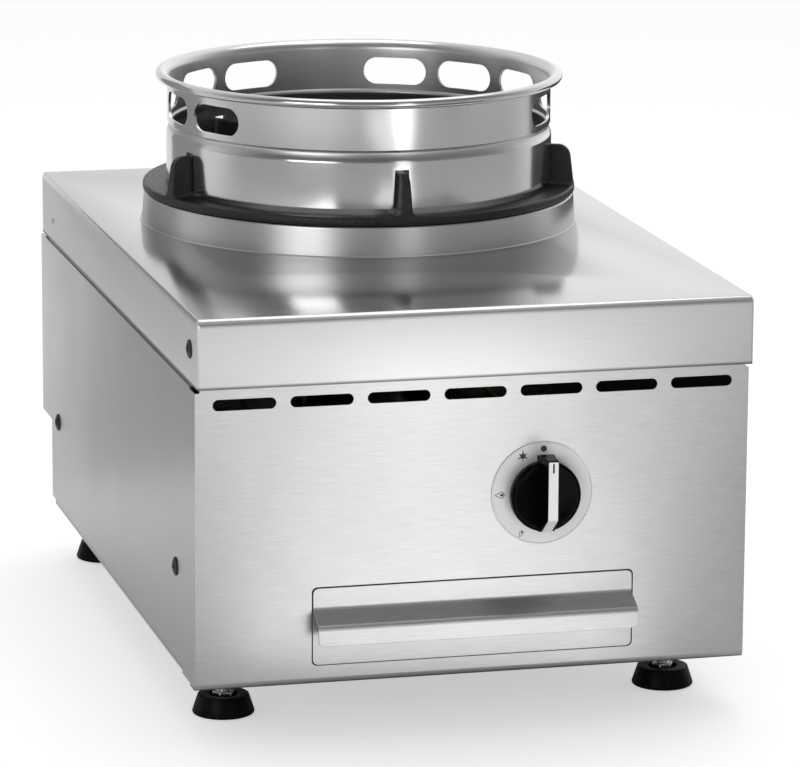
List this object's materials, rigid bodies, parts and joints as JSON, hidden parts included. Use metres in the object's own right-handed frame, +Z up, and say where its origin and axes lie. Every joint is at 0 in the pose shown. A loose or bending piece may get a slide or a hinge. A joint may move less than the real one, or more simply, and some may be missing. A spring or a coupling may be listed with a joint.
{
  "type": "wok burner",
  "caption": "Table-top gas wok burner: stainless case on feet with a control knob and a drip tray, a cast pan support and a slotted wok ring.",
  "frame": {"origin": "on the table, under the middle of the burner's outline", "axes": "+Z up, +Y from the front with the knob to the back, +X to the right seen from the front"},
  "size_m": [0.4052, 0.6248, 0.4183],
  "materials": {
    "brushed_case": "brushed stainless sheet with a fine level grain",
    "polished_steel": "polished stainless steel",
    "dial_metal": "satin silver",
    "screw_steel": "dark oxide",
    "zinc_steel": "zinc plated",
    "cast_iron": "matt black, sand cast",
    "brass": "machined brass",
    "copper_pipe": "drawn copper",
    "knob_plastic": "glossy black",
    "foot_plastic": "satin black",
    "white_ceramic": "glazed ceramic",
    "lead_sleeve": "silicone sleeve"
  },
  "bodies": {
    "case": {"air_shutter": "zinc_steel", "base_pan": "brushed_case", "burner_body": "cast_iron", "burner_rails": "zinc_steel", "cover_pins": "brushed_case", "cover_screws": "screw_steel", "dial_plate": "dial_metal", "drip_collar": "polished_steel", "foot_bushes": "zinc_steel", "front_crossbar": "zinc_steel", "front_panel": "brushed_case", "gas_valve": "brass", "ignition_lead": "lead_sleeve", "injector": "brass", "injector_holder": "brass", "inlet_fitting": "brass", "inlet_nut": "brass", "inlet_pipe": "zinc_steel", "left_side_panel": "brushed_case", "left_tray_runner": "zinc_steel", "mixing_tube": "cast_iron", "piezo_igniter": "knob_plastic", "pilot_bracket": "zinc_steel", "pilot_burner": "brass", "pilot_pipe": "copper_pipe", "rear_crossbar": "zinc_steel", "rear_panel": "brushed_case", "right_side_panel": "brushed_case", "right_tray_runner": "zinc_steel", "side_screws": "screw_steel", "spark_electrode": "white_ceramic", "spill_funnel": "brushed_case", "supply_pipe": "zinc_steel", "thermocouple": "zinc_steel", "thermocouple_lead": "copper_pipe", "top_cover": "brushed_case", "valve_bracket": "zinc_steel", "valve_nut": "zinc_steel"},
    "push_pin": {"push_pin": "zinc_steel"},
    "control_knob": {"valve_spindle": "zinc_steel", "control_knob": "knob_plastic", "knob_insert": "dial_metal"},
    "drip_tray": {"drip_tray": "brushed_case", "tray_front": "brushed_case", "tray_handle": "brushed_case"},
    "pan_support": {"pan_support": "cast_iron"},
    "wok_ring": {"wok_ring": "polished_steel"},
    "burner_head": {"burner_head": "cast_iron"},
    "burner_cap": {"burner_cap": "cast_iron"},
    "front_left_foot": {"front_left_pad": "foot_plastic", "front_left_stud": "zinc_steel"},
    "rear_left_foot": {"rear_left_pad": "foot_plastic", "rear_left_stud": "zinc_steel"},
    "front_right_foot": {"front_right_pad": "foot_plastic", "front_right_stud": "zinc_steel"},
    "rear_right_foot": {"rear_right_pad": "foot_plastic", "rear_right_stud": "zinc_steel"}
  },
  "joints": [
    {"name": "knob_push", "type": "slide", "parent": "case", "child": "push_pin", "axis": [0, 1, 0], "range_m": [0, 0.0035], "stiffness_N_per_m": 900},
    {"name": "knob_turn", "type": "hinge", "parent": "push_pin", "child": "control_knob", "pos_m": [0.049, -0.28313, 0.1675], "axis": [0, -1, 0], "range_deg": [0, 150]},
    {"name": "tray_slide", "type": "slide", "parent": "case", "child": "drip_tray", "axis": [0, -1, 0], "range_m": [0, 0.3]},
    {"name": "support_lift", "type": "slide", "parent": "case", "child": "pan_support", "axis": [0, 0, 1], "range_m": [0, 0.06]},
    {"name": "ring_lift", "type": "slide", "parent": "pan_support", "child": "wok_ring", "axis": [0, 0, 1], "range_m": [0, 0.06]},
    {"name": "head_lift", "type": "slide", "parent": "case", "child": "burner_head", "axis": [0, 0, 1], "range_m": [0, 0.025]},
    {"name": "cap_lift", "type": "slide", "parent": "burner_head", "child": "burner_cap", "axis": [0, 0, 1], "range_m": [0, 0.02]},
    {"name": "front_left_level", "type": "slide", "parent": "case", "child": "front_left_foot", "axis": [0, 0, -1], "range_m": [0, 0.012]},
    {"name": "rear_left_level", "type": "slide", "parent": "case", "child": "rear_left_foot", "axis": [0, 0, -1], "range_m": [0, 0.012]},
    {"name": "front_right_level", "type": "slide", "parent": "case", "child": "front_right_foot", "axis": [0, 0, -1], "range_m": [0, 0.012]},
    {"name": "rear_right_level", "type": "slide", "parent": "case", "child": "rear_right_foot", "axis": [0, 0, -1], "range_m": [0, 0.012]}
  ]
}
